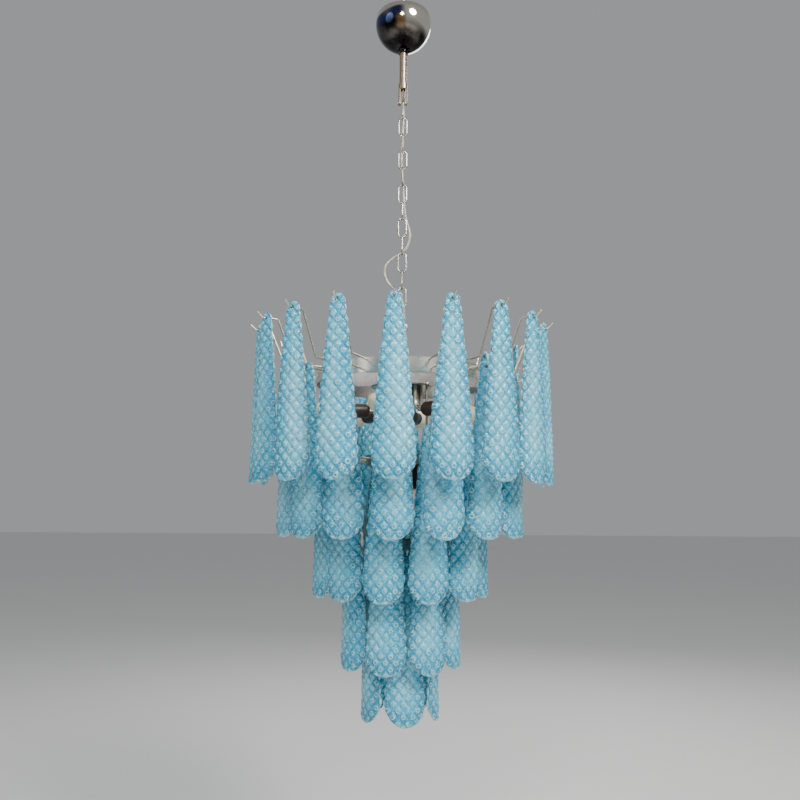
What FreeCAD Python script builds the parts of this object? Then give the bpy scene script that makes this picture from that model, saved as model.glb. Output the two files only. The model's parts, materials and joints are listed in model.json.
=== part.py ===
import FreeCAD, Part
import math
import os

# Tiered glass-petal chandelier. Millimetres, +Z up. The origin is the centre of the
# ceiling plate's upper face, and everything hangs below it along -Z. Angles around the
# lamp are measured from -Y, positive towards +X.

# ceiling plate and hook
PLATE_LENGTH = 96.0
PLATE_WIDTH = 25.0
PLATE_THICK = 3.0
SCREW_SPACING = 70.0
SCREW_HOLE_R = 2.75
HOOK_WIRE_R = 2.5
HOOK_BEND_R = 9.0
HOOK_DROP = 34.0          # ceiling to the centre of the hook wire at its lowest point

# stem, canopy and fork
EYE_WIRE_R = 2.25
EYE_RING_R = 9.0
STEM_R = 7.0
STEM_WALL = 1.0
STEM_TOP_GAP = 5.0        # bottom of the stem eye's ring to the top of the tube
STEM_LENGTH = 157.0
CANOPY_R = 54.0
CANOPY_WALL = 1.2
CANOPY_OPENING_RISE = 16.0   # rim of the cup above the ball's centre
CANOPY_CENTRE_Z = -72.0
CANOPY_TRAVEL_FIT = 0.08
COLLAR_R = 10.0
COLLAR_HEIGHT = 8.0
FORK_RING_HEIGHT = 11.0
FORK_WALL = 1.8
FORK_EAR_WIDTH = 11.0
FORK_PIN_DROP = 28.0      # stem mouth to the pin's centre
PIN_R = 2.0
PIN_HEAD_R = 3.2
PIN_HEAD = 1.6
TERMINAL_SIZE = (22.0, 18.0, 14.0)

# chain
LINK_COUNT = 13
LINK_WIRE_R = 1.5
LINK_LENGTH = 37.0        # between the centres of the two bows' wires
LINK_WIDTH = 15.0         # between the centres of the two long sides
RUNNING_GAP = 0.05        # between pieces that bear on each other

# power cable, a route chosen by hand: x, y, z below the ceiling
CABLE_R = 2.25
CABLE_ROUTE = [
    (0, 0, -203), (0.5, 1.2, -214), (1.5, 15.5, -243), (0, 17, -282), (-3, 15, -330),
    (-0.5, 16, -378), (2.5, 15, -424), (5, 14.5, -463), (17, 12.5, -497), (7, 13.5, -530),
    (-18, 13, -544), (-36, 13.5, -564), (-28, 14, -594), (-3, 15.5, -614), (5, 16, -646),
    (1, 18.5, -678), (0, 13, -699), (0, 6, -710),
]

# column and spokes
COLUMN_R = 8.0
COLUMN_WALL = 1.5
COLUMN_EYE_WIRE_R = 2.0
COLUMN_EYE_R = 9.0
COLUMN_EYE_PLUG = 12.0
CABLE_HOLE_R = 5.5
CABLE_HOLE_DROP = 12.0    # column top to the cable hole's centre

# rings and galleries, heights from the hook tips of the top tier
BAND_THICK = 3.0
TOP_RING_R = 156.5
TOP_RING_TOP = -84.0
TOP_RING_HEIGHT = 25.0
SPOKE_HUB_R = 14.0
DISC_R = 55.0
DISC_THICK = 2.5
MIDDLE_RING_R = 64.0
MIDDLE_RING_TOP = -236.0
MIDDLE_RING_HEIGHT = 18.0
LOWER_RING_R = 43.5
LOWER_RING_TOP = -384.0
LOWER_RING_HEIGHT = 30.0
GALLERY_THICK = 2.5
FINIAL_R = 12.0
FINIAL_HEIGHT = 14.0

# hanger rods and lamps
ROD_R = 2.25
ROD_CIRCLE_R = 48.0
ROD_COUNT = 3
ROD_PHASE = 73.0
ROD_BALL_R = 4.5
LAMP_COUNT = 6
LAMP_PHASE = 43.0
LAMP_HEIGHT = -156.0
ARM_R = 4.0
ARM_CIRCLE_R = 36.0
ARM_BEND_R = 20.0
HOLDER_R = 13.0
HOLDER_LENGTH = 40.0
HOLDER_START_R = 60.0
SOCKET_DEPTH = 24.0
CAP_R = 7.0
CAP_FIT = 0.2
BULB_R = 17.0
BULB_LENGTH = 72.0
LOW_LAMP_COUNT = 3
LOW_LAMP_PHASE = 13.0
LOW_LAMP_CIRCLE_R = 36.0
JUNCTION_SIZE = (20.0, 16.0, 15.0)

# glass petals
PETAL_LENGTH = 288.0
PETAL_THICK = 7.5
PETAL_TOP_HALF = 12.0
PETAL_TOP_ROUND = 9.0     # depth of the rounded top
PETAL_MID_HALF = 23.5
PETAL_MID_DOWN = 115.0
PETAL_WIDE_HALF = 34.0
PETAL_WIDE_DOWN = 246.0
PETAL_CORNER_HALF = 28.2
PETAL_CORNER_DOWN = 272.0
PETAL_BASE_HALF = 15.0
PETAL_BASE_DOWN = 285.0
PETAL_CURVE_R = 50.0      # bend of the middle surface across the width
PETAL_EDGE_R = 2.6
PETAL_HOLE_DOWN = 10.0
PETAL_HOLE_R = 2.75

# hook wires
WIRE_R = 1.5
WIRE_BEND_R = 5.0
WIRE_PAST_HOLE = 7.5      # hole centre to the upturned tip's bend
WIRE_TIP = 9.0            # the tip's run outward, and its rise
WIRE_BEHIND = 20.0        # hole centre back to the upper bend


class Tier:
    """One ring of petals. Radii and heights are those of the holes' centres."""

    def __init__(self, name, count, phase, hole_r, hole_z, ring_r, row_z, bend_r, per_node):
        self.name = name
        self.count = count
        self.phase = phase
        self.hole_r = hole_r
        self.hole_z = hole_z
        self.ring_r = ring_r
        self.row_z = row_z
        self.bend_r = bend_r
        self.per_node = per_node

    def angle(self, number):
        return self.phase + 360.0 * number / self.count


# heights below are measured from the top tier's hook tips
TIERS = [
    Tier("tier1", 18, -2.5, 258.0, -12.0, TOP_RING_R, -86.5, 208.0, 2),
    Tier("tier2", 16, -3.5, 207.0, -101.0, TOP_RING_R, -101.0, None, 2),
    Tier("tier3", 12, -11.0, 143.0, -203.0, MIDDLE_RING_R, -245.0, 110.0, 2),
    Tier("tier4", 8, -14.5, 95.0, -322.0, LOWER_RING_R, -390.0, 66.0, 2),
    Tier("tier5", 5, 9.0, 60.0, -408.0, LOWER_RING_R, -408.0, None, 1),
]

# heights that follow from the sizes above
EYE_TOP_Z = -HOOK_DROP + HOOK_WIRE_R + EYE_WIRE_R + RUNNING_GAP
EYE_CENTRE_Z = EYE_TOP_Z - EYE_RING_R
STEM_TOP_Z = EYE_CENTRE_Z - EYE_RING_R - STEM_TOP_GAP
STEM_MOUTH_Z = STEM_TOP_Z - STEM_LENGTH
PIN_Z = STEM_MOUTH_Z - FORK_PIN_DROP
FIRST_LINK_Z = PIN_Z + PIN_R + LINK_WIRE_R + RUNNING_GAP
LINK_PITCH = LINK_LENGTH - 2 * LINK_WIRE_R - RUNNING_GAP
LAST_BOW_Z = FIRST_LINK_Z - (LINK_COUNT - 1) * LINK_PITCH - LINK_LENGTH
COLUMN_EYE_Z = LAST_BOW_Z + LINK_WIRE_R + COLUMN_EYE_WIRE_R + RUNNING_GAP - COLUMN_EYE_R
COLUMN_TOP_Z = COLUMN_EYE_Z - COLUMN_EYE_R - 3.0
TIP_Z = COLUMN_TOP_Z + 11.0
DISC_TOP_Z = TIP_Z + TOP_RING_TOP - TOP_RING_HEIGHT
MIDDLE_FLOOR_Z = TIP_Z + MIDDLE_RING_TOP - MIDDLE_RING_HEIGHT
LOWER_FLOOR_Z = TIP_Z + LOWER_RING_TOP - LOWER_RING_HEIGHT


def vec(x=0.0, y=0.0, z=0.0):
    return FreeCAD.Vector(x, y, z)


def out(angle, radius, z=0.0):
    """A point at an angle around the lamp."""
    a = math.radians(angle)
    return vec(radius * math.sin(a), -radius * math.cos(a), z)


def cylinder(radius, low, high, x=0.0, y=0.0):
    return Part.makeCylinder(radius, high - low, vec(x, y, low))


def tube(outer, inner, low, high):
    return cylinder(outer, low, high).cut(cylinder(inner, low - 1, high + 1))


def block(x0, y0, z0, x1, y1, z1):
    return Part.makeBox(x1 - x0, y1 - y0, z1 - z0, vec(x0, y0, z0))


def turned(points):
    """A solid of revolution about Z from a closed outline of (radius, z) points."""
    corners = [vec(r, 0, z) for r, z in points]
    face = Part.Face(Part.makePolygon(corners + corners[:1]))
    return face.revolve(vec(), vec(0, 0, 1), 360)


def turn_to(shape, angle):
    """Turn a shape that was made at angle 0, facing -Y, to its angle around the lamp."""
    placed = shape.copy()
    placed.rotate(vec(), vec(0, 0, 1), angle)
    return placed


def bend_radius(before, corner, after, share=0.45):
    """The arc that a corner takes from a share of its shorter run, and its half turn."""
    turn = (corner - before).getAngle(after - corner)
    run = min((corner - before).Length, (after - corner).Length)
    return share * run / math.tan(turn / 2), turn


def bent_path(points, radius=None):
    """Straight runs joined by tangent arcs: of one radius, or as large as the runs allow."""
    edges = []
    start = points[0]
    for before, corner, after in zip(points, points[1:], points[2:]):
        largest, turn = bend_radius(before, corner, after)
        bend = radius or largest
        set_back = bend * math.tan(turn / 2)
        into = (before - corner).normalize()
        away = (after - corner).normalize()
        first = corner + into * set_back
        last = corner + away * set_back
        middle_way = (into + away).normalize()
        centre = corner + middle_way * (bend / math.cos(turn / 2))
        middle = centre - middle_way * bend
        edges.append(Part.LineSegment(start, first).toShape())
        edges.append(Part.Arc(first, middle, last).toShape())
        start = last
    edges.append(Part.LineSegment(start, points[-1]).toShape())
    return Part.Wire(edges)


def rod_along(path, radius):
    """A round rod along a path of tangent edges."""
    first = path.OrderedEdges[0]
    start = first.valueAt(first.FirstParameter)
    ahead = first.tangentAt(first.FirstParameter)
    section = Part.Wire(Part.makeCircle(radius, start, ahead))
    return path.makePipeShell([section], True, False)


def radial_rod(points, radius, bend):
    """A bent rod in the plane of angle 0, from (radius, z) points."""
    return rod_along(bent_path([vec(0, -r, z) for r, z in points], bend), radius)


def ring_upright(radius, wire_r, z, across_x):
    """A round ring standing upright, in the XZ plane or the YZ plane."""
    normal = vec(0, 1, 0) if across_x else vec(1, 0, 0)
    return Part.makeTorus(radius, wire_r, vec(0, 0, z), normal)


def ceiling_plate():
    plate = block(-PLATE_LENGTH / 2, -PLATE_WIDTH / 2, -PLATE_THICK,
                  PLATE_LENGTH / 2, PLATE_WIDTH / 2, 0)
    corners = [e for e in plate.Edges if abs(e.tangentAt(e.FirstParameter).z) > 0.9]
    plate = plate.makeFillet(PLATE_WIDTH * 0.35, corners)
    for x in (-SCREW_SPACING / 2, SCREW_SPACING / 2):
        plate = plate.cut(cylinder(SCREW_HOLE_R, -PLATE_THICK - 1, 1, x))
    return plate.cut(cylinder(HOOK_WIRE_R, -PLATE_THICK - 1, 1))


def ceiling_hook():
    """A J-shaped hook in the YZ plane, riveted flush into the plate."""
    drop = HOOK_DROP
    bend = HOOK_BEND_R
    shank = Part.LineSegment(vec(), vec(0, 0, -PLATE_THICK - 2)).toShape()
    top = -PLATE_THICK - 2
    quarter = bend / 2
    s = math.sin(math.radians(45))
    first = Part.Arc(vec(0, 0, top), vec(0, -quarter * (1 - s), top - quarter * s),
                     vec(0, -quarter, top - quarter)).toShape()
    second = Part.Arc(vec(0, -quarter, top - quarter),
                      vec(0, -quarter - quarter * s, top - quarter - quarter * (1 - s)),
                      vec(0, -bend, top - bend)).toShape()
    side = Part.LineSegment(vec(0, -bend, top - bend), vec(0, -bend, bend - drop)).toShape()
    bow = Part.Arc(vec(0, -bend, bend - drop), vec(0, 0, -drop), vec(0, bend, bend - drop)).toShape()
    tip = Part.LineSegment(vec(0, bend, bend - drop), vec(0, bend, bend - drop + 6)).toShape()
    return rod_along(Part.Wire([shank, first, second, side, bow, tip]), HOOK_WIRE_R)


def stem_eye():
    """The ring that hangs on the ceiling hook, with the plug that closes the stem's top."""
    ring = ring_upright(EYE_RING_R, EYE_WIRE_R, EYE_CENTRE_Z, True)
    shoulder = cylinder(STEM_R, STEM_TOP_Z, STEM_TOP_Z + 3)
    neck = cylinder(4.0, STEM_TOP_Z + 2, EYE_CENTRE_Z - EYE_RING_R + 1)
    plug = cylinder(STEM_R - STEM_WALL, STEM_TOP_Z - 10, STEM_TOP_Z)
    return ring.fuse([neck, shoulder, plug]).removeSplitter()


def stem_tube():
    return tube(STEM_R, STEM_R - STEM_WALL, STEM_MOUTH_Z, STEM_TOP_Z)


def stem_fork():
    """A sleeve round the stem's mouth with two ears that carry the pin."""
    outer = STEM_R + FORK_WALL
    half = FORK_EAR_WIDTH / 2
    top = STEM_MOUTH_Z + FORK_RING_HEIGHT
    kept = block(-2 * outer, -half, PIN_Z, 2 * outer, half, STEM_MOUTH_Z + 1)
    round_end = Part.makeCylinder(half, 4 * outer, vec(-2 * outer, 0, PIN_Z), vec(1, 0, 0))
    sleeve = block(-2 * outer, -2 * outer, STEM_MOUTH_Z, 2 * outer, 2 * outer, top + 1)
    fork = tube(outer, STEM_R, PIN_Z - half, top).common(kept.fuse([round_end, sleeve]))
    pin_hole = Part.makeCylinder(PIN_R, 4 * outer, vec(-2 * outer, 0, PIN_Z), vec(1, 0, 0))
    return fork.cut(pin_hole).removeSplitter()


def fork_pin():
    outer = STEM_R + FORK_WALL
    pin = Part.makeCylinder(PIN_R, 2 * outer + 1.5, vec(-outer, 0, PIN_Z), vec(1, 0, 0))
    head = Part.makeCylinder(PIN_HEAD_R, PIN_HEAD, vec(-outer - PIN_HEAD, 0, PIN_Z), vec(1, 0, 0))
    return pin.fuse(head)


def canopy_terminal_block():
    """The mains terminal block, strapped to the stem inside the cup."""
    length, width, height = TERMINAL_SIZE
    low = CANOPY_CENTRE_Z - height
    body = block(STEM_R - 1.5, -width / 2, low, STEM_R - 1.5 + length, width / 2, low + height)
    body = body.cut(cylinder(STEM_R, low - 1, low + height + 1))
    for y in (-width / 4, width / 4):
        body = body.cut(Part.makeCylinder(1.8, 3, vec(STEM_R + 7, y, low + height - 3)))
        body = body.cut(Part.makeCylinder(1.8, 3, vec(STEM_R + 15, y, low + height - 3)))
    return body


def canopy_cup():
    """An open ball cup that slides on the stem."""
    centre = vec(0, 0, CANOPY_CENTRE_Z)
    shell = Part.makeSphere(CANOPY_R, centre).cut(Part.makeSphere(CANOPY_R - CANOPY_WALL, centre))
    rim = CANOPY_CENTRE_Z + CANOPY_OPENING_RISE
    shell = shell.cut(cylinder(CANOPY_R + 1, rim, rim + CANOPY_R))
    return shell.cut(cylinder(STEM_R + CANOPY_TRAVEL_FIT, CANOPY_CENTRE_Z - CANOPY_R - 1,
                              CANOPY_CENTRE_Z))


def canopy_seat_z():
    """Where the ball's outside meets the collar's bore edge."""
    return CANOPY_CENTRE_Z - math.sqrt(CANOPY_R ** 2 - COLLAR_R ** 2)


def canopy_collar():
    """The knurled collar under the cup, dished to the ball, held by its clamp screw."""
    top = canopy_seat_z()
    ring = tube(COLLAR_R, STEM_R + CANOPY_TRAVEL_FIT, top - COLLAR_HEIGHT, top)
    ring = ring.cut(Part.makeSphere(CANOPY_R, vec(0, 0, CANOPY_CENTRE_Z)))
    screw = Part.makeCylinder(2.2, 5, vec(COLLAR_R - 1.0, 0, top - COLLAR_HEIGHT / 2), vec(1, 0, 0))
    return ring.fuse(screw).removeSplitter()


def chain_link(top_z, across_x):
    half = LINK_WIDTH / 2
    low = top_z - LINK_LENGTH + half
    high = top_z - half
    s = half * math.sin(math.radians(45))

    def at(side, z):
        return vec(side, 0, z) if across_x else vec(0, side, z)

    def quarter(side, z, way):
        middle = at(side * s, z + way * s)
        ends = (at(side * half, z), at(0, z + way * half))
        return middle, ends

    pieces = []
    for side in (-1, 1):
        start = at(side * half, low)
        line = Part.Wire([Part.LineSegment(start, at(side * half, high)).toShape()])
        pieces.append(rod_along(line, LINK_WIRE_R))
    for z, way in ((high, 1), (low, -1)):
        bow = Part.Arc(at(-half, z), at(0, z + way * half), at(half, z)).toShape()
        pieces.append(rod_along(Part.Wire([bow]), LINK_WIRE_R))
    return pieces[0].fuse(pieces[1:]).removeSplitter()


def chain_links():
    links = []
    for number in range(LINK_COUNT):
        links.append(chain_link(FIRST_LINK_Z - number * LINK_PITCH, number % 2 == 1))
    return Part.makeCompound(links)


def power_cable():
    points = [vec(*p) for p in CABLE_ROUTE]
    path = bent_path(points)
    radii = [round(bend_radius(*three)[0], 1) for three in zip(points, points[1:], points[2:])]
    solid = rod_along(path, CABLE_R)
    ideal = math.pi * CABLE_R ** 2 * path.Length
    print("cable length", round(path.Length, 1), "bend radii", radii,
          "volume ratio", round(solid.Volume / ideal, 4))
    return solid


def column_eye():
    ring = ring_upright(COLUMN_EYE_R, COLUMN_EYE_WIRE_R, COLUMN_EYE_Z, True)
    shoulder = cylinder(COLUMN_R, COLUMN_TOP_Z, COLUMN_TOP_Z + 2.5)
    plug = cylinder(COLUMN_R - COLUMN_WALL, COLUMN_TOP_Z - 5, COLUMN_TOP_Z)
    neck = cylinder(3.5, COLUMN_TOP_Z + 2, COLUMN_EYE_Z - COLUMN_EYE_R + 1)
    return ring.fuse([neck, shoulder, plug]).removeSplitter()


def column_tube():
    column = tube(COLUMN_R, COLUMN_R - COLUMN_WALL, LOWER_FLOOR_Z - 6, COLUMN_TOP_Z)
    hole = Part.makeCylinder(CABLE_HOLE_R, COLUMN_R + 2, vec(0, 0, COLUMN_TOP_Z - CABLE_HOLE_DROP),
                             vec(0, 1, 0))
    return column.cut(hole)


def top_ring():
    top = TIP_Z + TOP_RING_TOP
    return tube(TOP_RING_R, TOP_RING_R - BAND_THICK, top - TOP_RING_HEIGHT, top)


def top_spokes():
    """Two flat bars on edge, halved together over a sleeve that grips the column."""
    top = TIP_Z + TOP_RING_TOP
    low = top - TOP_RING_HEIGHT
    reach = TOP_RING_R
    half = BAND_THICK / 2
    bars = block(-reach, -half, low, reach, half, top).fuse(block(-half, -reach, low, half, reach, top))
    bars = bars.common(cylinder(TOP_RING_R - BAND_THICK, low, top))
    spokes = bars.fuse(cylinder(SPOKE_HUB_R, low, top))
    return spokes.cut(cylinder(COLUMN_R, low - 1, top + 1)).removeSplitter()


def hub_disc():
    disc = tube(DISC_R, COLUMN_R, DISC_TOP_Z - DISC_THICK, DISC_TOP_Z)
    for number in range(ROD_COUNT):
        at = out(ROD_PHASE + 360.0 * number / ROD_COUNT, ROD_CIRCLE_R)
        disc = disc.cut(cylinder(ROD_R, DISC_TOP_Z - 9, DISC_TOP_Z + 9, at.x, at.y))
    return disc


def hanger_rods():
    rods = []
    for number in range(ROD_COUNT):
        at = out(ROD_PHASE + 360.0 * number / ROD_COUNT, ROD_CIRCLE_R)
        rods.append(cylinder(ROD_R, MIDDLE_FLOOR_Z - 2, DISC_TOP_Z + 2, at.x, at.y))
    return Part.makeCompound(rods)


def rod_ball_nuts():
    nuts = []
    for number in range(ROD_COUNT):
        at = out(ROD_PHASE + 360.0 * number / ROD_COUNT, ROD_CIRCLE_R)
        ball = Part.makeSphere(ROD_BALL_R, vec(at.x, at.y, DISC_TOP_Z + ROD_BALL_R - 1))
        ball = ball.cut(cylinder(2 * ROD_BALL_R, DISC_TOP_Z - 2 * ROD_BALL_R, DISC_TOP_Z, at.x, at.y))
        nuts.append(ball.cut(cylinder(ROD_R, DISC_TOP_Z - 1, DISC_TOP_Z + 2, at.x, at.y)))
    return Part.makeCompound(nuts)


def junction_block():
    """The terminal block under the hub disc, where the cable meets the lamp wires."""
    length, width, height = JUNCTION_SIZE
    top = DISC_TOP_Z - DISC_THICK
    body = block(COLUMN_R + 3, -width / 2 - 12, top - height, COLUMN_R + 3 + length, width / 2 - 12, top)
    for x in (COLUMN_R + 3 + length * 0.3, COLUMN_R + 3 + length * 0.7):
        body = body.cut(Part.makeCylinder(1.8, 3, vec(x, -width / 2 - 12, top - height / 2), vec(0, 1, 0)))
    return body


def lamp_arms():
    """Bent tubes from the hub disc down and out to the upper lamp holders."""
    low = TIP_Z + LAMP_HEIGHT
    points = [(ARM_CIRCLE_R, DISC_TOP_Z - DISC_THICK), (ARM_CIRCLE_R, low), (HOLDER_START_R, low)]
    arm = radial_rod(points, ARM_R, ARM_BEND_R)
    return Part.makeCompound([turn_to(arm, LAMP_PHASE + 360.0 * n / LAMP_COUNT)
                              for n in range(LAMP_COUNT)])


def lamp_holder():
    """A holder along +Z from its closed end at the origin."""
    bore = CAP_R + CAP_FIT
    return turned([(0, 0), (HOLDER_R - 3, 0), (HOLDER_R, 5), (HOLDER_R, HOLDER_LENGTH - 4),
                   (HOLDER_R - 1.5, HOLDER_LENGTH), (bore, HOLDER_LENGTH),
                   (bore, HOLDER_LENGTH - SOCKET_DEPTH), (0, HOLDER_LENGTH - SOCKET_DEPTH)])


def candle_bulb():
    """A candle bulb along +Z, with its cap in the holder and its shoulder on the rim."""
    deep = HOLDER_LENGTH - SOCKET_DEPTH + 1
    rim = HOLDER_LENGTH
    cap = cylinder(CAP_R, deep, rim)
    shoulder = Part.Arc(vec(CAP_R, 0, rim), vec(BULB_R * 0.82, 0, rim + BULB_LENGTH * 0.14),
                        vec(BULB_R, 0, rim + BULB_LENGTH * 0.34)).toShape()
    taper = Part.Arc(vec(BULB_R, 0, rim + BULB_LENGTH * 0.34),
                     vec(BULB_R * 0.7, 0, rim + BULB_LENGTH * 0.7),
                     vec(1.2, 0, rim + BULB_LENGTH)).toShape()
    top = Part.makePolygon([vec(1.2, 0, rim + BULB_LENGTH), vec(0, 0, rim + BULB_LENGTH),
                            vec(0, 0, rim), vec(CAP_R, 0, rim)]).Edges
    face = Part.Face(Part.Wire(Part.__sortEdges__([shoulder, taper] + top)))
    return face.revolve(vec(), vec(0, 0, 1), 360).fuse(cap).removeSplitter()


def at_lamps(piece):
    """Copies of a piece made along +Z, put at every lamp: the upper ones point outwards."""
    placed = []
    for number in range(LAMP_COUNT):
        one = piece.copy()
        one.rotate(vec(), vec(1, 0, 0), 90)
        one.translate(vec(0, -HOLDER_START_R, TIP_Z + LAMP_HEIGHT))
        placed.append(turn_to(one, LAMP_PHASE + 360.0 * number / LAMP_COUNT))
    for number in range(LOW_LAMP_COUNT):
        one = piece.copy()
        one.rotate(vec(), vec(1, 0, 0), 180)
        angle = LOW_LAMP_PHASE + 360.0 * number / LOW_LAMP_COUNT
        one.translate(out(angle, LOW_LAMP_CIRCLE_R, MIDDLE_FLOOR_Z))
        placed.append(one)
    return Part.makeCompound(placed)


def gallery(radius, top, height):
    """A spun pan with an upright rim and a floor that the column passes through."""
    floor = top - height
    inner = radius - BAND_THICK
    return turned([(COLUMN_R, floor), (radius, floor), (radius, top), (inner, top),
                   (inner, floor + GALLERY_THICK), (COLUMN_R, floor + GALLERY_THICK)])


def middle_gallery():
    pan = gallery(MIDDLE_RING_R, TIP_Z + MIDDLE_RING_TOP, MIDDLE_RING_HEIGHT)
    for number in range(ROD_COUNT):
        at = out(ROD_PHASE + 360.0 * number / ROD_COUNT, ROD_CIRCLE_R)
        pan = pan.cut(cylinder(ROD_R, MIDDLE_FLOOR_Z - 1, MIDDLE_FLOOR_Z + 9, at.x, at.y))
    return pan


def lower_gallery():
    return gallery(LOWER_RING_R, TIP_Z + LOWER_RING_TOP, LOWER_RING_HEIGHT)


def finial_nut():
    """The cap nut that closes the column and carries the lower gallery."""
    top = LOWER_FLOOR_Z
    nut = turned([(0, top - 6 - 3), (0, top - FINIAL_HEIGHT), (FINIAL_R * 0.4, top - FINIAL_HEIGHT),
                  (FINIAL_R * 0.85, top - FINIAL_HEIGHT * 0.7), (FINIAL_R, top - FINIAL_HEIGHT * 0.35),
                  (FINIAL_R, top), (COLUMN_R, top), (COLUMN_R, top - 6), (0, top - 6)])
    return nut


def hook_wire(tier):
    """A hook wire in the plane of angle 0: out of its ring, up, out through the petal, tip up."""
    hole_z = TIP_Z + tier.hole_z
    row_z = TIP_Z + tier.row_z
    tip_r = tier.hole_r + WIRE_PAST_HOLE
    points = [(tier.ring_r, row_z)]
    if tier.bend_r:
        points += [(tier.bend_r, row_z), (tier.hole_r - WIRE_BEHIND, hole_z)]
    points += [(tip_r, hole_z), (tip_r + WIRE_TIP, hole_z + WIRE_TIP)]
    return radial_rod(points, WIRE_R, WIRE_BEND_R)


def hook_wires(tiers):
    wires = []
    for tier in tiers:
        wire = hook_wire(tier)
        wires += [turn_to(wire, tier.angle(n)) for n in range(tier.count)]
    return Part.makeCompound(wires)


def petal_outline():
    """The petal's front outline, closed, with the hole's centre at the origin."""
    def at(half, down):
        return vec(half, 0, PETAL_HOLE_DOWN - down)

    def arc(first, middle, last):
        return Part.Arc(at(*first), at(*middle), at(*last)).toShape()

    edges = [arc((-PETAL_TOP_HALF, PETAL_TOP_ROUND), (0, 0), (PETAL_TOP_HALF, PETAL_TOP_ROUND))]
    for side in (1, -1):
        edges.append(arc((side * PETAL_TOP_HALF, PETAL_TOP_ROUND), (side * PETAL_MID_HALF, PETAL_MID_DOWN),
                         (side * PETAL_WIDE_HALF, PETAL_WIDE_DOWN)))
        edges.append(arc((side * PETAL_WIDE_HALF, PETAL_WIDE_DOWN),
                         (side * PETAL_CORNER_HALF, PETAL_CORNER_DOWN),
                         (side * PETAL_BASE_HALF, PETAL_BASE_DOWN)))
    edges.append(arc((-PETAL_BASE_HALF, PETAL_BASE_DOWN), (0, PETAL_LENGTH),
                     (PETAL_BASE_HALF, PETAL_BASE_DOWN)))
    return Part.Wire(Part.__sortEdges__(edges))


def petal():
    """A solid glass petal facing -Y at angle 0, hollow side inwards, hanging plumb by its hole."""
    low = PETAL_HOLE_DOWN - PETAL_LENGTH - 5
    high = PETAL_HOLE_DOWN + 5
    outer = cylinder(PETAL_CURVE_R + PETAL_THICK / 2, low, high, 0, PETAL_CURVE_R)
    inner = cylinder(PETAL_CURVE_R - PETAL_THICK / 2, low, high, 0, PETAL_CURVE_R)
    face = Part.Face(petal_outline())
    face.translate(vec(0, -2 * PETAL_THICK, 0))
    blank = face.extrude(vec(0, 5 * PETAL_THICK, 0))
    glass = blank.common(outer.cut(inner))
    rims = [e for e in glass.Edges if len(e.Vertexes) == 2 and not is_corner(e)]
    glass = glass.makeFillet(PETAL_EDGE_R, rims)
    glass = glass.cut(Part.makeCylinder(PETAL_HOLE_R, 4 * PETAL_THICK, vec(0, -2 * PETAL_THICK, 0),
                                        vec(0, 1, 0)))
    glass = glass.Solids[0]
    weight = glass.CenterOfMass
    glass.rotate(vec(), vec(1, 0, 0), -math.degrees(math.atan2(weight.y, -weight.z)))
    return glass


def is_corner(edge):
    """True for the short edges that cross the petal's thickness."""
    return edge.Length < 1.5 * PETAL_THICK


def petal_node(glass, tier, first):
    pieces = []
    for number in range(first, first + tier.per_node):
        one = glass.copy()
        one.translate(vec(0, -tier.hole_r, TIP_Z + tier.hole_z))
        pieces.append(turn_to(one, tier.angle(number)))
    return Part.makeCompound(pieces) if len(pieces) > 1 else pieces[0]


def petal_nodes():
    glass = petal()
    nodes = {}
    for tier in TIERS:
        for first in range(0, tier.count, tier.per_node):
            label = "pair" if tier.per_node == 2 else "petal"
            name = f"{tier.name}_{label}_{first // tier.per_node + 1:02d}"
            nodes[name] = petal_node(glass, tier, first)
    return nodes


def all_nodes():
    nodes = {
        "ceiling_plate": ceiling_plate(),
        "ceiling_hook": ceiling_hook(),
        "stem_eye": stem_eye(),
        "stem_tube": stem_tube(),
        "stem_fork": stem_fork(),
        "fork_pin": fork_pin(),
        "canopy_terminal_block": canopy_terminal_block(),
        "canopy_cup": canopy_cup(),
        "canopy_collar": canopy_collar(),
        "chain_links": chain_links(),
        "power_cable": power_cable(),
        "column_eye": column_eye(),
        "column_tube": column_tube(),
        "top_ring": top_ring(),
        "top_spokes": top_spokes(),
        "hub_disc": hub_disc(),
        "hanger_rods": hanger_rods(),
        "rod_ball_nuts": rod_ball_nuts(),
        "junction_block": junction_block(),
        "lamp_arms": lamp_arms(),
        "lamp_holders": at_lamps(lamp_holder()),
        "candle_bulbs": at_lamps(candle_bulb()),
        "middle_gallery": middle_gallery(),
        "lower_gallery": lower_gallery(),
        "finial_nut": finial_nut(),
        "top_hook_wires": hook_wires(TIERS[:2]),
        "middle_hook_wires": hook_wires(TIERS[2:3]),
        "lower_hook_wires": hook_wires(TIERS[3:]),
    }
    nodes.update(petal_nodes())
    return nodes


os.makedirs("parts", exist_ok=True)
for name, shape in all_nodes().items():
    if not shape.isValid():
        print("not valid:", name)
    shape.exportStep(f"parts/{name}.step")
print("tips", round(TIP_Z, 2), "pin", round(PIN_Z, 2), "last bow", round(LAST_BOW_Z, 2))
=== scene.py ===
import json
import math
import random

import bmesh
import bpy
from bpy.props import FloatProperty, FloatVectorProperty, IntProperty, PointerProperty
from mathutils import Matrix, Vector, noise


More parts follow.
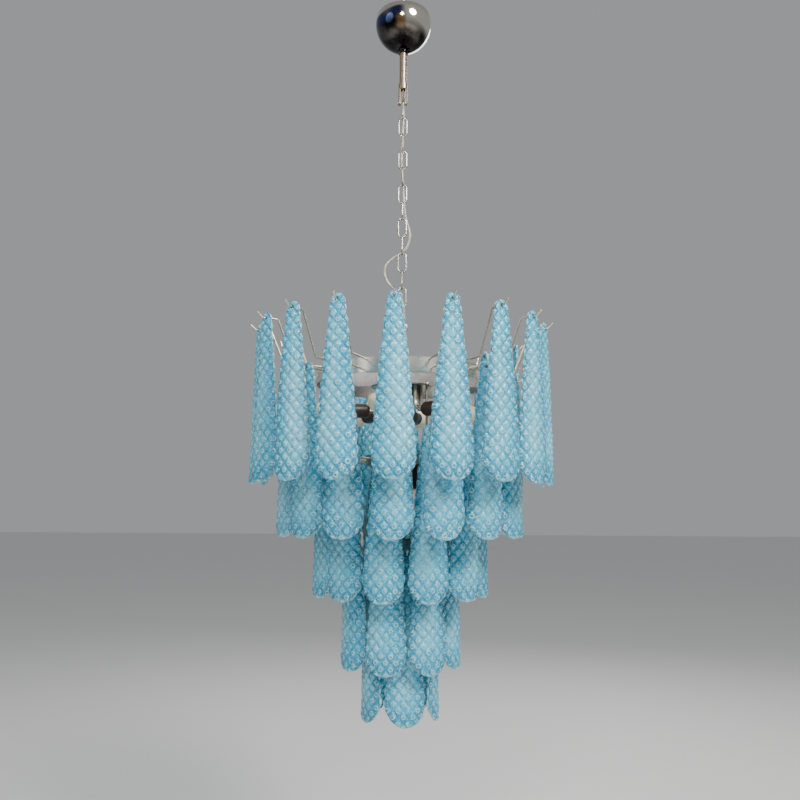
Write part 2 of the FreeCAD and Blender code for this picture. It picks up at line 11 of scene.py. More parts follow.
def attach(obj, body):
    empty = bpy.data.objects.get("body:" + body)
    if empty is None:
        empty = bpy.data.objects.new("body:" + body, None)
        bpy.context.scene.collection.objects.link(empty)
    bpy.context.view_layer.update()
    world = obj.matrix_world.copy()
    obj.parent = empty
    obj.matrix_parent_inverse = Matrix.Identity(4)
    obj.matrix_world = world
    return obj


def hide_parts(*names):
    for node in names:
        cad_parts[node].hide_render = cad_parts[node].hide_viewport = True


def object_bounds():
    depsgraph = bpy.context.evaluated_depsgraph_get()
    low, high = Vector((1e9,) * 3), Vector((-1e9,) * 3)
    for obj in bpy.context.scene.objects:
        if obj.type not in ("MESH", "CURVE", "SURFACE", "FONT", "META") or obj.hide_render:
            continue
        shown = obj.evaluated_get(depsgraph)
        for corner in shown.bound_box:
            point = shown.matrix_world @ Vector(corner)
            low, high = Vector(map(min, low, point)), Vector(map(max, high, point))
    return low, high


bl_info = {
    "name": "Glass Petal Chandelier",
    "version": (1, 0, 0),
    "blender": (4, 5, 0),
    "location": "View3D > Sidebar > Chandelier",
    "description": "Dresses a tiered glass petal chandelier around its fixed metal frame",
    "category": "Object",
}

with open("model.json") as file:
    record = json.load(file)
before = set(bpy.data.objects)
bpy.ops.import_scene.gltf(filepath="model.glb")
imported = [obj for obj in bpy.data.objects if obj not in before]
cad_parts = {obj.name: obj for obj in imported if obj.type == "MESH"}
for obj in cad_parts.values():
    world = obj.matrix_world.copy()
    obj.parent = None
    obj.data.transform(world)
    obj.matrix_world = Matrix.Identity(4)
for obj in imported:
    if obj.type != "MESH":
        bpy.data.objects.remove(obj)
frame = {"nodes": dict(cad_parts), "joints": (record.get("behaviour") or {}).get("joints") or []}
CAD_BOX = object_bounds()
NODES = frame["nodes"]
JOINTS = frame["joints"]

# how many petals hang in each tier, top to bottom
TIER_COUNTS = {"tier1": 18, "tier2": 16, "tier3": 12, "tier4": 8, "tier5": 5}
# share of the full turn on the hook that each tier's petals take, chosen one by one; at these
# turns the rims of some hook holes cut into their wires
TURN_SHARE = {"tier1": 1.0, "tier2": 1.0, "tier3": 0.8, "tier4": 0.6, "tier5": 0.0}
PETAL_LEAN = math.radians(0.955)

# the cable's route, in metres, from the stem's mouth to the hole in the column
CABLE_ROUTE = [
    (0, 0, -.203), (.0005, .0012, -.214), (.0015, .0155, -.243), (0, .017, -.282),
    (-.003, .015, -.330), (-.0005, .016, -.378), (.0025, .015, -.424), (.005, .0145, -.463),
    (.017, .0125, -.497), (.007, .0135, -.530), (-.018, .013, -.544), (-.036, .0135, -.564),
    (-.028, .014, -.594), (-.003, .0155, -.614), (.005, .016, -.646), (.001, .0185, -.678),
    (0, .013, -.699), (0, .006, -.710),
]
CABLE_RADIUS = 0.00225


# ---------------------------------------------------------------- settings

class ChandelierGlassSettings(bpy.types.PropertyGroup):
    """Sizes and colours of the cast glass petals"""
    # besides the glass's own darker patches and flecks, this colour paints shade: at the sides and foot,
    # and in the creases between the knobs
    deep_colour: FloatVectorProperty(
        name="Deep colour", description="Glass where it is thickest, at the sides and foot",
        subtype="COLOR", default=(0.008, 0.210, 0.370), min=0, max=1)
    body_colour: FloatVectorProperty(
        name="Body colour", description="Glass over most of the petal",
        subtype="COLOR", default=(0.020, 0.470, 0.720), min=0, max=1)
    # painted highlight: this pale colour paints a streak down each petal's middle that stands in for the
    # lamps' reflection on the knobs
    highlight_streak_colour: FloatVectorProperty(
        name="Highlight streak colour", description="The cloudy streak down the middle",
        subtype="COLOR", default=(0.300, 0.800, 0.980), min=0, max=1)
    # painted highlights: the rings, knob tops, flecks and edges painted in this colour stand in for the
    # lamps' glints on the glass
    light_colour: FloatVectorProperty(
        name="Light colour", description="The lens rings and flecks that catch the light",
        subtype="COLOR", default=(0.520, 1.000, 1.000), min=0, max=1)
    knob_width: FloatProperty(
        name="Knob width", description="Across one diamond of the knob pattern",
        subtype="DISTANCE", default=0.0160, min=0.006, max=0.03)
    knob_length: FloatProperty(
        name="Knob length", description="Down one diamond of the knob pattern",
        subtype="DISTANCE", default=0.0200, min=0.006, max=0.04)
    knob_height: FloatProperty(
        name="Knob height", description="From the valleys to the tops of the knobs",
        subtype="DISTANCE", default=0.0030, min=0, max=0.005)
    hook_turn: FloatProperty(
        name="Turn on the hooks", description="How far the side petals turn on their hooks to the front",
        subtype="ANGLE", default=math.radians(24), min=0, max=math.radians(30))
    segments: IntProperty(
        name="Segments", description="Faces round a petal's edge to edge loop",
        default=76, min=24, max=120)
    rings: IntProperty(
        name="Rings", description="Rows of faces from a petal's top to its foot",
        default=146, min=40, max=220)


class ChandelierMetalSettings(bpy.types.PropertyGroup):
    """Colours of the metal finishes"""
    nickel_colour: FloatVectorProperty(
        name="Nickel", description="Polished nickel of the canopy and the bands",
        subtype="COLOR", default=(0.80, 0.75, 0.66), min=0, max=1)
    wire_colour: FloatVectorProperty(
        name="Hook wire", description="Plated wire of the petal hooks",
        subtype="COLOR", default=(0.66, 0.58, 0.44), min=0, max=1)
    stem_colour: FloatVectorProperty(
        name="Stem", description="Aged plating of the stem and the column",
        subtype="COLOR", default=(0.46, 0.36, 0.26), min=0, max=1)
    chain_colour: FloatVectorProperty(
        name="Chain", description="Bright plated steel of the chain",
        subtype="COLOR", default=(0.50, 0.44, 0.36), min=0, max=1)


class ChandelierStageSettings(bpy.types.PropertyGroup):
    """The floor, the lights and the camera"""
    floor_drop: FloatProperty(
        name="Floor drop", description="From the lowest petal to the floor",
        subtype="DISTANCE", default=0.45, min=0.02, max=2.0)
    floor_colour: FloatVectorProperty(
        name="Floor colour", description="The pale floor", subtype="COLOR",
        default=(0.80, 0.80, 0.79), min=0, max=1)
    camera_distance: FloatProperty(
        name="Camera distance", description="From the lamp's axis to the camera",
        subtype="DISTANCE", default=1.382, min=0.5, max=5.0)
    camera_height: FloatProperty(
        name="Camera height", description="Height of the camera above the origin",
        subtype="DISTANCE", default=-1.0245, min=-3.0, max=1.0)
    camera_pitch: FloatProperty(
        name="Camera pitch", description="How far the camera looks up",
        subtype="ANGLE", default=math.radians(8.5), min=-1.0, max=1.0)
    camera_roll: FloatProperty(
        name="Camera roll", description="How far the camera leans sideways",
        subtype="ANGLE", default=math.radians(0.34), min=-0.2, max=0.2)
    camera_yaw: FloatProperty(
        name="Camera yaw", description="How far the camera turns to its left",
        subtype="ANGLE", default=math.radians(0.10), min=-0.5, max=0.5)
    lens: FloatProperty(
        name="Lens", description="Focal length on a 36 mm sensor, in millimetres",
        default=34.47, min=10, max=200)


# ---------------------------------------------------------------- finishes

class Value:
    """A number that runs through a material, usable in ordinary sums"""

    def __init__(self, finish, socket):
        self.finish = finish
        self.socket = socket

    def _sum(self, operation, first, second):
        return self.finish.node("ShaderNodeMath", {"operation": operation}, {0: first, 1: second})

    def __add__(self, other):
        return self._sum("ADD", self, other)

    def __radd__(self, other):
        return self._sum("ADD", other, self)

    def __sub__(self, other):
        return self._sum("SUBTRACT", self, other)

    def __rsub__(self, other):
        return self._sum("SUBTRACT", other, self)

    def __mul__(self, other):
        return self._sum("MULTIPLY", self, other)

    def __rmul__(self, other):
        return self._sum("MULTIPLY", other, self)

    def __truediv__(self, other):
        return self._sum("DIVIDE", self, other)

    def __pow__(self, other):
        return self._sum("POWER", self, other)

    def __abs__(self):
        return self._sum("ABSOLUTE", self, 0.0)

    def between(self, low, high):
        """0 below low, 1 above high, smooth in the middle"""
        return self.finish.node("ShaderNodeMapRange", {"interpolation_type": "SMOOTHSTEP"},
                                {"Value": self, "From Min": low, "From Max": high})

    def from_nearest(self):
        """How far a number is from the nearest whole number"""
        return self - self.finish.node("ShaderNodeMath", {"operation": "ROUND"}, {0: self})

    def clipped(self):
        return self.finish.node("ShaderNodeClamp", {}, {"Value": self})


class Finish:
    """A material under construction"""

    def __init__(self, name):
        self.material = bpy.data.materials.new(name)
        self.material.use_nodes = True
        self.tree = self.material.node_tree
        self.shader = self.tree.nodes["Principled BSDF"]

    def node(self, kind, settings, sockets, output=None):
        """Any node: its settings first, then the values or links of its sockets"""
        made = self.tree.nodes.new(kind)
        for key, value in settings.items():
            setattr(made, key, value)
        for key, value in sockets.items():
            self.plug(made.inputs[key], value)
        outputs = [s for s in made.outputs if s.enabled]
        return Value(self, made.outputs[output] if output is not None else outputs[0])

    def plug(self, socket, value):
        if isinstance(value, Value):
            self.tree.links.new(value.socket, socket)
        elif isinstance(value, (int, float)):
            socket.default_value = value
        else:
            wanted = len(socket.default_value)
            socket.default_value = (tuple(value) + (1.0,))[:wanted]

    def put(self, **values):
        """Values or links for the shader's own sockets, named with underscores"""
        for name, value in values.items():
            self.plug(self.shader.inputs[name.replace("_", " ")], value)

    def place(self):
        return self.node("ShaderNodeTexCoord", {}, {}, "Object")

    def along(self, axis):
        """How far along X, Y or Z of the piece a point lies, in metres"""
        return self.node("ShaderNodeSeparateXYZ", {}, {"Vector": self.place()}, axis)

    def attribute(self, name):
        return self.node("ShaderNodeAttribute", {"attribute_name": name}, {}, "Fac")

    def noise(self, scale, detail=2.0, stretch=None, rough=0.5):
        vector = self.place()
        if stretch:
            vector = self.node("ShaderNodeMapping", {}, {"Vector": vector, "Scale": stretch})
        return self.node("ShaderNodeTexNoise", {},
                         {"Vector": vector, "Scale": scale, "Detail": detail, "Roughness": rough},
                         "Fac")

    def blend(self, factor, first, second):
        """One colour turning into another"""
        return self.node("ShaderNodeMix", {"data_type": "RGBA"}, {0: factor, 6: first, 7: second}, 2)

    def bump(self, height, strength, distance):
        normal = self.node("ShaderNodeBump", {},
                           {"Height": height, "Strength": strength, "Distance": distance})
        self.put(Normal=normal)


def shade(colour, factor):
    """A colour made darker or lighter"""
    return tuple(min(1.0, c * factor) for c in colour)


def petal_glass():
    """Blue cast glass: a painted highlight streak down the middle, a painted highlight ring in every knob,
    painted shade in the creases
    """
    look = bpy.context.scene.chandelier_glass
    f = Finish("petal_glass")
    across = f.attribute("across")
    down = f.attribute("down")
    tone = f.attribute("tone")
    a = f.attribute("lattice_a").from_nearest()
    b = f.attribute("lattice_b").from_nearest()
    streak_wander = f.noise(24.0, 3.0, (1.0, 1.0, 0.45))
    patch = f.noise(75.0, 3.0)
    grain = f.noise(330.0, 2.5, rough=0.7)
    wobble = (grain - 0.5) * 0.22
    reach = (((a + b) ** 2.0) + ((a - b) * 1.25) ** 2.0) ** 0.5 + wobble
    ring = reach.between(0.20, 0.34) * (1.0 - reach.between(0.40, 0.54)) * patch.between(0.28, 0.66)
    heart = 1.0 - reach.between(0.04, 0.20)
    crease = (abs(a).between(0.34, 0.50) + abs(b).between(0.34, 0.50)).clipped()
    # painted highlight: a pale streak down the middle, shifted a little from petal to petal
    off_middle = abs(across - (tone - 0.5) * 0.9 + (streak_wander - 0.5) * 1.1)
    highlight_streak = (1.0 - off_middle.between(0.0, 0.80)) * (1.0 - down.between(0.78, 0.96))
    highlight_streak = (highlight_streak * (0.20 + streak_wander * 0.9 + tone * 0.35) * (0.25 + down.between(0.0, 0.45) * 0.75)).clipped()
    # painted shade: the sides and foot turn deeper blue, partly for the longer path through the glass
    # there and partly as shade where the glass turns away from the light
    edge = (abs(across).between(0.45, 1.0) * 0.7 + down.between(0.84, 0.99) * 0.6).clipped()
    colour = f.blend(edge, look.body_colour, look.deep_colour)
    colour = f.blend(highlight_streak * 0.75, colour, look.highlight_streak_colour)
    colour = f.blend((patch.between(0.45, 0.75) * 0.45).clipped(), colour, look.deep_colour)
    # painted shade: the creases between the knobs are darkened, more in some patches than in others
    colour = f.blend(crease * patch.between(0.25, 0.60) * 0.42, colour, look.deep_colour)
    # painted highlights: a bright ring in each knob, glints on the knob tops and bright flecks stand in
    # for the lamps' reflections
    colour = f.blend((ring * 0.80).clipped(), colour, look.light_colour)
    colour = f.blend(heart * grain.between(0.44, 0.56) * 0.60, colour, look.light_colour)
    colour = f.blend(grain.between(0.53, 0.68) * 0.55, colour, look.light_colour)
    colour = f.blend((1.0 - grain.between(0.34, 0.48)) * 0.40, colour, look.deep_colour)
    # painted highlight along the foot and the side edges
    colour = f.blend((down.between(0.975, 1.0) + abs(across).between(0.93, 1.0)).clipped() * 0.45,
                     colour, look.light_colour)
    f.put(Base_Color=colour, Roughness=0.10 + patch * 0.16, IOR=1.5, Transmission_Weight=0.15,
          Coat_Weight=0.45, Coat_Roughness=0.04)
    f.bump(ring * 0.50 + heart * 0.35 - crease * 0.30 + grain * 0.55 + patch * 0.45, 0.9, 0.0022)
    return f.material


def plated_metal(name, colour, roughness, wear=0.5, inside=0.0):
    """Plated metal with handling marks, fine lines and duller patches, and painted shade inside a radius
    """
    f = Finish(name)
    smudge = f.noise(22.0, 4.0).between(0.38, 0.68)
    lines = f.noise(90.0, 3.0, (1.0, 1.0, 14.0))
    specks = f.noise(700.0, 2.0).between(0.60, 0.74)
    worn = f.blend((smudge * wear).clipped(), colour, shade(colour, 0.62))
    worn = f.blend((specks * 0.35 * wear).clipped(), worn, shade(colour, 0.42))
    # painted shade: nearer the lamp's axis than the given radius, the metal is darkened towards a dark
    # grey
    if inside:
        reach = (f.along("X") ** 2.0 + f.along("Y") ** 2.0) ** 0.5
        dim = (1.0 - reach.between(inside - 0.0005, inside + 0.0005)) * 0.6
        worn = f.blend(dim, worn, (0.16, 0.14, 0.15))
    f.put(Base_Color=worn, Metallic=1.0, Roughness=roughness + smudge * 0.14 * wear + lines * 0.06)
    f.bump(lines * 0.4 + f.noise(420.0, 2.0) * 0.6, 0.12, 0.0004)
    return f.material


def mirror_nickel(colour):
    """Polished nickel painted as if it mirrored a dim room: dark below and left, cream right"""
    f = Finish("polished_nickel")
    side = f.along("X")
    drift = (f.noise(9.0, 2.0) - 0.5) * 0.03
    smudge = f.noise(30.0, 4.0).between(0.42, 0.70)
    height = f.along("Z") + drift
    left = 1.0 - (side + drift).between(-0.012, 0.004)
    under = 1.0 - height.between(-0.112, -0.094)
    rim = height.between(-0.071, -0.064)
    shadow = (left * (1.0 - rim) + under).clipped()
    warm = (1.0 - abs(side + 0.004).between(0.004, 0.013)) * height.between(-0.112, -0.100)
    warm = warm * (1.0 - height.between(-0.092, -0.080))
    tone = f.blend(shadow, colour, (0.014, 0.012, 0.013))
    tone = f.blend(left * height.between(-0.096, -0.080) * (1.0 - rim) * 0.65, tone, (0.040, 0.060, 0.190))
    tone = f.blend(warm * 0.75, tone, (0.42, 0.22, 0.09))
    tone = f.blend(rim * 0.45, tone, (0.50, 0.42, 0.33))
    tone = f.blend(smudge * 0.25, tone, shade(colour, 0.55))
    f.put(Base_Color=tone, Metallic=1.0, Roughness=0.09 + smudge * 0.06)
    f.bump(f.noise(420.0, 2.0), 0.04, 0.0003)
    return f.material


def moulded_plastic(name, colour, roughness, mottle=0.0):
    """Moulded plastic: a soft sheen, faint mottling and dust"""
    f = Finish(name)
    patch = f.noise(60.0, 3.0).between(0.35, 0.7)
    dust = f.noise(14.0, 4.0).between(0.5, 0.8)
    base = f.blend(patch * (0.25 + mottle), colour, shade(colour, 0.6))
    base = f.blend(dust * 0.15, base, (0.45, 0.42, 0.38))
    f.put(Base_Color=base, Roughness=roughness + patch * 0.12 + dust * 0.1, IOR=1.48)
    f.bump(f.noise(900.0, 2.0), 0.08, 0.0003)
    return f.material


def bulb_glass():
    """Frosted candle bulb, warm white"""
    f = Finish("bulb_glass")
    haze = f.noise(45.0, 3.0).between(0.3, 0.75)
    base = f.blend(haze * 0.5, (0.86, 0.78, 0.60), (0.78, 0.66, 0.44))
    f.put(Base_Color=base, Roughness=0.25 + haze * 0.15, IOR=1.5,
          Emission_Color=(1.0, 0.78, 0.45), Emission_Strength=0.12, Coat_Weight=0.3)
    f.bump(f.noise(300.0, 2.0), 0.05, 0.0003)
    return f.material


def cable_sheath():
    """Clear sheath over tinned cores, seen as a greyish beige"""
    f = Finish("cable_sheath")
    twist = f.noise(160.0, 2.0, (1.0, 1.0, 0.5)).between(0.35, 0.65)
    base = f.blend(twist, (0.52, 0.48, 0.40), (0.36, 0.33, 0.28))
    f.put(Base_Color=base, Roughness=0.28 + twist * 0.1, IOR=1.5, Coat_Weight=0.5)
    f.bump(twist, 0.15, 0.0004)
    return f.material


def stage_paint(name, colour):
    """Matt paint with a faint drift of tone"""
    f = Finish(name)
    soft = f.noise(3.0, 2.0)
    f.put(Base_Color=f.blend(soft * 0.3, colour, shade(colour, 0.96)), Roughness=0.85)
    return f.material


def wear(piece, material):
    """Give a piece, or a frame node, one finish all over"""
    if not piece.material_slots:
        piece.data.materials.append(material)
    for slot in piece.material_slots:
        slot.material = material


# ---------------------------------------------------------------- modelling helpers

def piece_from(bm, name, material, body=None):
    """A smooth-shaded piece in the scene, riding on a body if one is named"""
    for face in bm.faces:
        face.smooth = True
    mesh = bpy.data.meshes.new(name)
    bm.to_mesh(mesh)
    bm.free()
    piece = bpy.data.objects.new(name, mesh)
    bpy.context.scene.collection.objects.link(piece)
    mesh.materials.append(material)
    if body:
        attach(piece, body)
    return piece


def circle_through(a, b, c):
    """Centre of the circle through three points"""
    ax, ay = a
    bx, by = b
    cx, cy = c
    d = 2 * (ax * (by - cy) + bx * (cy - ay) + cx * (ay - by))
    ux = ((ax * ax + ay * ay) * (by - cy) + (bx * bx + by * by) * (cy - ay)
          + (cx * cx + cy * cy) * (ay - by)) / d
    uy = ((ax * ax + ay * ay) * (cx - bx) + (bx * bx + by * by) * (ax - cx)
          + (cx * cx + cy * cy) * (bx - ax)) / d
    return Vector((ux, uy))


def along_arc(a, b, c, steps):
    """Points along the arc from a by way of b to c"""
    centre = circle_through(a, b, c)
    first = Vector(a) - centre
    turn = first.angle_signed(Vector(c) - centre)
    return [centre + Matrix.Rotation(-turn * n / steps, 2) @ first for n in range(steps + 1)]


# ---------------------------------------------------------------- petals

TEMPLATE_COUNT = 6       # differently patterned petals, dealt out by chance
PETAL_SEED = 11
# sizes of a petal, in metres, and its outline as half width and distance below its top
PETAL_LENGTH = 0.288
PETAL_THICK = 0.0075
PETAL_CURVE = 0.050
HOLE_DOWN = 0.010
HOLE_RADIUS = 0.0029
ROUNDED_END = 0.0055     # run over which a petal thins to its rounded top and foot
KNOB_WANDER = 0.0022     # how far the knobs stray from a perfect lattice
KNOB_LEVEL = 0.72        # share of a knob's height that lies below the plain surface
OUTLINE = [((0.0, 0.0), (0.0066, 0.0024), (0.012, 0.009)),
           ((0.012, 0.009), (0.0235, 0.115), (0.034, 0.246)),
           ((0.034, 0.246), (0.0282, 0.272), (0.015, 0.285)),
           ((0.015, 0.285), (0.0076, 0.2872), (0.0, 0.288))]


def outline_rows(rings):
    """Half width and depth of each ring, evenly spaced along the petal's edge"""
    points = []
    for arc in OUTLINE:
        points += [Vector(p) for p in along_arc(*arc, 60)][1 if points else 0:]
    reach = [0.0]
    for a, b in zip(points, points[1:]):
        reach.append(reach[-1] + (b - a).length)
    rows = []
    index = 0
    for n in range(rings):
        wanted = reach[-1] * (n + 0.5) / rings
        while reach[index + 1] < wanted:
            index += 1
        share = (wanted - reach[index]) / (reach[index + 1] - reach[index])
        rows.append(points[index].lerp(points[index + 1], share))
    return rows


def on_section(share, half_width, half_thick):
    """A point of a petal's flat section: sideways, outwards, its normal and its run from the front"""
    half_thick = min(half_thick, half_width)
    flat = half_width - half_thick
    quarter = flat + math.pi * half_thick / 2
    run = share * 4 * quarter
    side = 1.0
    if run > 2 * quarter:
        run = 4 * quarter - run
        side = -1.0
    back = run > quarter
    lateral = run if not back else 2 * quarter - run
    if lateral <= flat:
        x, y, nx, ny = lateral, half_thick, 0.0, 1.0
    else:
        turn = (lateral - flat) / half_thick if half_thick > 1e-9 else 0.0
        x, y = flat + half_thick * math.sin(turn), half_thick * math.cos(turn)
        nx, ny = math.sin(turn), math.cos(turn)
    if back:
        y, ny = -y, -ny
    return side * x, y, side * nx, ny, side * lateral


def petal_template(seed):
    """One cast petal, hole at the origin, facing -Y, hanging along -Z"""
    look = bpy.context.scene.chandelier_glass
    chance = random.Random(seed)
    shift = (chance.uniform(-0.5, 0.5), chance.uniform(0.0, 1.0))
    rows = outline_rows(look.rings)
    bm = bmesh.new()
    across = bm.verts.layers.float.new("across")
    down = bm.verts.layers.float.new("down")
    lattice = [bm.verts.layers.float.new(name) for name in ("lattice_a", "lattice_b")]
    bm.verts.layers.float.new("tone")
    bmesh.ops.create_grid(bm, x_segments=look.segments, y_segments=look.rings - 1, size=0.5)
    for vert in bm.verts:
        half, depth = rows[round((0.5 - vert.co.y) * (look.rings - 1))]
        end = min(depth, PETAL_LENGTH - depth) / ROUNDED_END
        thick = PETAL_THICK / 2 * math.sqrt(max(0.05, 1 - max(0.0, 1 - end) ** 2))
        x, y, nx, ny, lateral = on_section(vert.co.x + 0.5, half, thick)
        spot = Vector((lateral * 9, depth * 9, seed * 3.1 + (y < 0)))
        wander = noise.noise(spot) * KNOB_WANDER
        a = (lateral + wander) / look.knob_width + (depth - wander) / look.knob_length + shift[0]
        b = (lateral + wander) / look.knob_width - (depth - wander) / look.knob_length - shift[1]
        knob = abs(math.cos(math.pi * a)) * abs(math.cos(math.pi * b))
        knob = knob ** 0.75 * (0.82 + 0.36 * noise.noise(spot * 4.0))
        lift = look.knob_height * (knob - KNOB_LEVEL)
        x += nx * lift
        y += ny * lift
        turn = math.asin(max(-1.0, min(1.0, x / PETAL_CURVE)))
        reach = PETAL_CURVE + y
        vert.co = (reach * math.sin(turn), PETAL_CURVE - reach * math.cos(turn),
                   HOLE_DOWN - depth)
        vert[across] = lateral / max(half, 0.004)
        vert[down] = depth / PETAL_LENGTH
        vert[lattice[0]], vert[lattice[1]] = a, b
    bmesh.ops.remove_doubles(bm, verts=bm.verts, dist=1e-6)
    bmesh.ops.holes_fill(bm, edges=[e for e in bm.edges if e.is_boundary], sides=0)
    bmesh.ops.triangulate(bm, faces=[f for f in bm.faces if len(f.verts) > 4])
    open_hook_hole(bm)
    bmesh.ops.recalc_face_normals(bm, faces=bm.faces)
    mesh = bpy.data.meshes.new(f"petal_template_{seed}")
    bm.to_mesh(mesh)
    bm.free()
    return mesh


def open_hook_hole(bm):
    """Open the hook's hole through a petal's two faces and line it"""
    near = [f for f in bm.faces if math.hypot(f.calc_center_median().x, f.calc_center_median().z)
            < HOLE_RADIUS * 0.95 and abs(f.normal.y) > 0.3]
    bmesh.ops.delete(bm, geom=near, context="FACES")
    rim = [e for e in bm.edges if e.is_boundary]
    for vert in {v for e in rim for v in e.verts}:
        away = math.hypot(vert.co.x, vert.co.z)
        vert.co.x *= HOLE_RADIUS / away
        vert.co.z *= HOLE_RADIUS / away
    bmesh.ops.bridge_loops(bm, edges=rim)


def petal_places():
    """Every petal node with its body and the angle, radius and height of each hook hole"""
    places = {}
    for joint in JOINTS:
        tier = joint["child"].split("_")[0]
        if tier not in TIER_COUNTS:
            continue
        x, y, z = joint["pos_m"]
        middle = math.atan2(x, -y)
        paired = "pair" in joint["child"]
        half_step = math.pi / TIER_COUNTS[tier]
        radius = math.hypot(x, y) / (math.cos(half_step) if paired else 1.0)
        angles = [middle - half_step, middle + half_step] if paired else [middle]
        places[joint["child"]] = [(angle, radius, z) for angle in angles]
    return places


class CHANDELIER_OT_petals(bpy.types.Operator):
    """Cast the glass petals and hang them on their hooks"""
    bl_idname = "chandelier.petals"
    bl_label = "Glass Petals"

    def execute(self, context):
        places = petal_places()
        if len(places) != sum(1 for name in NODES if name.startswith("tier")):
            raise RuntimeError("a petal node has no hinge to place it by")
        look = context.scene.chandelier_glass
        glass = petal_glass()
        templates = [petal_template(seed) for seed in range(TEMPLATE_COUNT)]
        chance = random.Random(PETAL_SEED)
        for node, petals in sorted(places.items()):
            bm = bmesh.new()
            before = Matrix.Identity(4)
            for angle, radius, height in petals:
                turn = -look.hook_turn * TURN_SHARE[node.split("_")[0]] * math.sin(angle)
                place = (Matrix.Rotation(angle, 4, "Z") @ Matrix.Translation((0, -radius, height))
                         @ Matrix.Rotation(turn, 4, "Z") @ Matrix.Rotation(-PETAL_LEAN, 4, "X"))
                bm.transform(place.inverted() @ before)
                old = len(bm.verts)
                bm.from_mesh(templates[chance.randrange(len(templates))])
                bm.verts.ensure_lookup_table()
                tone = bm.verts.layers.float["tone"]
                tint = chance.random()
                for number in range(old, len(bm.verts)):
                    bm.verts[number][tone] = tint
                before = place
            bm.transform(before)
            piece = piece_from(bm, node.replace("pair", "glass").replace("petal", "glass"), glass, node)
            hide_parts(node)
        for mesh in templates:
            bpy.data.meshes.remove(mesh)
        return {"FINISHED"}


# ---------------------------------------------------------------- cable

class CHANDELIER_OT_cable(bpy.types.Operator):
    """Hang the supply cable beside the chain"""
    bl_idname = "chandelier.cable"
    bl_label = "Supply Cable"

    def execute(self, context):
        curve = bpy.data.curves.new("supply_cable", "CURVE")
        curve.dimensions = "3D"
        spline = curve.splines.new("NURBS")
        spline.points.add(len(CABLE_ROUTE) - 1)
        for point, place in zip(spline.points, CABLE_ROUTE):
            point.co = (*place, 1.0)
        spline.order_u = 3
        spline.use_endpoint_u = True
        spline.resolution_u = 8
        curve.bevel_depth = CABLE_RADIUS
        curve.bevel_resolution = 3
        curve.use_fill_caps = True
        curve.materials.append(cable_sheath())
        cable = bpy.data.objects.new("supply_cable", curve)
        context.scene.collection.objects.link(cable)
        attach(cable, "chain")
        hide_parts("power_cable")
        return {"FINISHED"}


# ---------------------------------------------------------------- metalwork

class CHANDELIER_OT_metal(bpy.types.Operator):
    """Plate the stem, chain, rings, galleries and hook wires"""
    bl_idname = "chandelier.metal"
    bl_label = "Metal Finishes"

    def execute(self, context):
        look = context.scene.chandelier_metal
        finishes = {
            "polished_nickel": mirror_nickel(look.nickel_colour),
            # the last number is the radius inside which shade is painted on the bands and the parts within
            # them
            "band_nickel": plated_metal("band_nickel", look.nickel_colour, 0.20, 0.6, 0.1545),
            "hook_wire": plated_metal("hook_wire", look.wire_colour, 0.24, 0.5),
            "aged_stem": plated_metal("aged_stem", look.stem_colour, 0.22, 0.7),
            "chain_steel": plated_metal("chain_steel", look.chain_colour, 0.16, 1.3),
            "zinc_steel": plated_metal("zinc_steel", (0.55, 0.55, 0.53), 0.35, 0.9),
            "terminal_plastic": moulded_plastic("terminal_plastic", (0.70, 0.68, 0.60), 0.4),
            "brown_bakelite": moulded_plastic("brown_bakelite", (0.11, 0.045, 0.02), 0.3, 0.4),
            "holder_plastic": moulded_plastic("holder_plastic", (0.070, 0.045, 0.032), 0.34, 0.2),
            "bulb_glass": bulb_glass(),
        }
        wearing = {
            "polished_nickel": ["canopy_cup", "canopy_collar"],
            "band_nickel": ["top_ring", "top_spokes", "hub_disc", "middle_gallery",
                            "lower_gallery", "finial_nut", "rod_ball_nuts"],
            "hook_wire": ["top_hook_wires", "middle_hook_wires", "lower_hook_wires",
                          "hanger_rods", "lamp_arms"],
            "aged_stem": ["stem_tube", "stem_fork", "stem_eye", "column_tube"],
            "chain_steel": ["chain_links", "fork_pin", "column_eye"],
            "zinc_steel": ["ceiling_plate", "ceiling_hook"],
            "terminal_plastic": ["canopy_terminal_block"],
            "brown_bakelite": ["junction_block"],
            "holder_plastic": ["lamp_holders"],
            "bulb_glass": ["candle_bulbs"],
        }
        for finish, names in wearing.items():
            for name in names:
                wear(NODES[name], finishes[finish])
        return {"FINISHED"}


# ---------------------------------------------------------------- stage

def area_light(name, place, aim, size, power, colour=(1, 1, 1)):
    """A round soft light at a place, in metres, turned towards aim, in watts"""
    lamp = bpy.data.lights.new(name, "AREA")
    lamp.shape = "DISK"
    lamp.size = size
    lamp.energy = power
    lamp.color = colour
    thing = bpy.data.objects.new(name, lamp)
    thing.location = place
    thing.rotation_euler = (Vector(aim) - Vector(place)).to_track_quat("-Z", "Y").to_euler()
    bpy.context.scene.collection.objects.link(thing)
    return thing


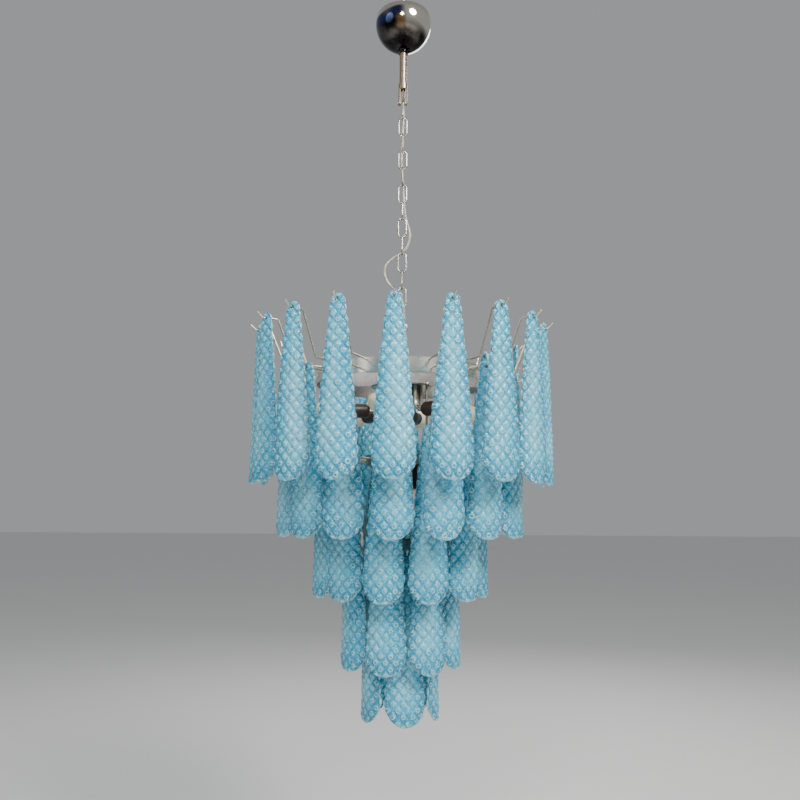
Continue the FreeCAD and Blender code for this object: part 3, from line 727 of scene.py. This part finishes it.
class CHANDELIER_OT_stage(bpy.types.Operator):
    """Lay the pale floor, hang the soft lights and set the camera"""
    bl_idname = "chandelier.stage"
    bl_label = "Studio Stage"

    def execute(self, context):
        look = context.scene.chandelier_stage
        low = min(corner.z for corner in map(Vector, CAD_BOX)) - look.floor_drop
        bm = bmesh.new()
        bmesh.ops.create_grid(bm, x_segments=8, y_segments=8, size=30.0,
                              matrix=Matrix.Translation((0, 0, low)))
        floor = piece_from(bm, "floor", stage_paint("floor_paint", look.floor_colour))
        middle = (0, 0, -1.0)
        area_light("key_light", (1.5, -2.0, 0.9), middle, 1.1, 105, (1.0, 0.98, 0.95))
        area_light("fill_light", (-2.2, -1.4, 0.2), middle, 1.6, 14, (0.92, 0.97, 1.0))
        area_light("front_light", (-0.2, -2.2, 0.3), middle, 0.45, 26)
        area_light("back_light", (0.6, 2.2, 0.5), middle, 1.4, 30)
        world = bpy.data.worlds.new("studio_air")
        world.use_nodes = True
        world.node_tree.nodes["Background"].inputs["Color"].default_value = (0.72, 0.73, 0.75, 1)
        world.node_tree.nodes["Background"].inputs["Strength"].default_value = 0.46
        context.scene.world = world
        lens = bpy.data.cameras.new("studio_camera")
        lens.lens = look.lens
        lens.sensor_width = 36
        lens.clip_start = 0.01
        camera = bpy.data.objects.new("studio_camera", lens)
        context.scene.collection.objects.link(camera)
        camera.location = (0, -look.camera_distance, look.camera_height)
        turn = Matrix.Rotation(look.camera_yaw, 4, "Z")
        turn = turn @ Matrix.Rotation(math.pi / 2 + look.camera_pitch, 4, "X")
        camera.rotation_euler = (turn @ Matrix.Rotation(look.camera_roll, 4, "Z")).to_euler()
        context.scene.camera = camera
        return {"FINISHED"}


# ---------------------------------------------------------------- panel and registration

class CHANDELIER_PT_sidebar(bpy.types.Panel):
    """Lists the chandelier's operators"""
    bl_idname = "CHANDELIER_PT_sidebar"
    bl_label = "Glass Petal Chandelier"
    bl_space_type = "VIEW_3D"
    bl_region_type = "UI"
    bl_category = "Chandelier"

    def draw(self, context):
        for operator in OPERATORS:
            self.layout.operator(operator.bl_idname)


OPERATORS = (CHANDELIER_OT_stage, CHANDELIER_OT_cable, CHANDELIER_OT_metal, CHANDELIER_OT_petals)
SETTINGS = {"chandelier_glass": ChandelierGlassSettings,
            "chandelier_metal": ChandelierMetalSettings,
            "chandelier_stage": ChandelierStageSettings}


def register():
    for name, group in SETTINGS.items():
        bpy.utils.register_class(group)
        setattr(bpy.types.Scene, name, PointerProperty(type=group))
    for kind in (*OPERATORS, CHANDELIER_PT_sidebar):
        bpy.utils.register_class(kind)


def unregister():
    for kind in (CHANDELIER_PT_sidebar, *reversed(OPERATORS)):
        bpy.utils.unregister_class(kind)
    for name, group in SETTINGS.items():
        delattr(bpy.types.Scene, name)
        bpy.utils.unregister_class(group)


def main():
    register()
    bpy.ops.chandelier.stage()
    bpy.ops.chandelier.cable()
    bpy.ops.chandelier.metal()
    bpy.ops.chandelier.petals()


if __name__ == "__main__":
    main()
